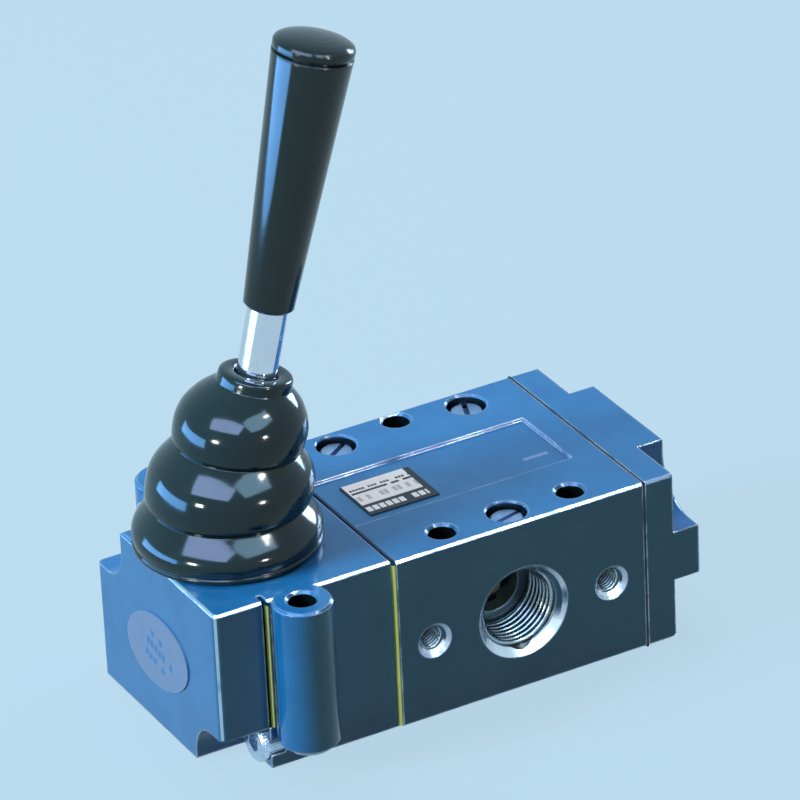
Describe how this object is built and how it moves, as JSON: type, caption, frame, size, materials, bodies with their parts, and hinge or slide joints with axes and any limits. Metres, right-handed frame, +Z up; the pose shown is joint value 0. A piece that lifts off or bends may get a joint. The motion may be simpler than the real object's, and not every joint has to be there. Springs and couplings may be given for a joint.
{
  "type": "hand lever air valve",
  "caption": "Hand lever spool valve for compressed air: a block with threaded ports, a lever head with a bellows boot and a chrome rod, and a tapered black grip.",
  "frame": {"origin": "middle of the valve body's flat mounting face, under the inlet port", "axes": "+Z up from the mounting face to the name plate, +X from the lever head to the end cap, -Y out of the inlet port"},
  "size_m": [0.1118, 0.07, 0.1422],
  "materials": {
    "cast_blue": "satin enamel on a machined casting",
    "rubber_black": "glossy",
    "gasket_grey": "matt",
    "chrome": "polished",
    "zinc_steel": "zinc plated",
    "steel": "ground",
    "grip_black": "glossy",
    "spool_metal": "hard anodised, ground",
    "bronze": "plain bearing",
    "spacer_plastic": "moulded",
    "plate": "printed",
    "label": "printed film"
  },
  "bodies": {
    "valve": {"valve_body": "cast_blue", "name_plate": "plate", "top_screws": "zinc_steel", "end_cap": "cast_blue", "end_cap_gasket": "gasket_grey", "end_cap_screws": "zinc_steel", "lever_housing": "cast_blue", "housing_gasket": "gasket_grey", "housing_screws": "zinc_steel", "pivot_keeper": "steel", "keeper_screws": "zinc_steel", "end_label": "label", "boot": "rubber_black", "spool_seals": "rubber_black", "spool_spacers": "spacer_plastic", "end_rings": "spacer_plastic", "spring_guide": "spacer_plastic", "return_spring": "steel", "pivot_pin": "steel"},
    "lever": {"lever_hub": "steel", "pivot_bush": "bronze", "foot_ball": "steel", "rod_nut": "zinc_steel", "lever_rod": "chrome", "hand_grip": "grip_black", "grip_cap": "grip_black"},
    "spool_set": {"spool": "spool_metal", "drive_piece": "steel"}
  },
  "joints": [
    {"name": "lever_hinge", "type": "hinge", "parent": "valve", "child": "lever", "pos_m": [-0.05145, 0, 0.038], "axis": [0, 1, 0], "range_deg": [-27.9, 0], "stiffness_Nm_per_rad": 0.6, "springref_deg": 20.05, "deforming": ["boot"]},
    {"name": "spool_slide", "type": "slide", "parent": "valve", "child": "spool_set", "axis": [1, 0, 0], "range_m": [0, 0.0099], "deforming": ["return_spring"]}
  ],
  "couplings": [
    {"joint": "spool_slide", "follows": "lever_hinge", "m_per_rad": -0.020298}
  ]
}
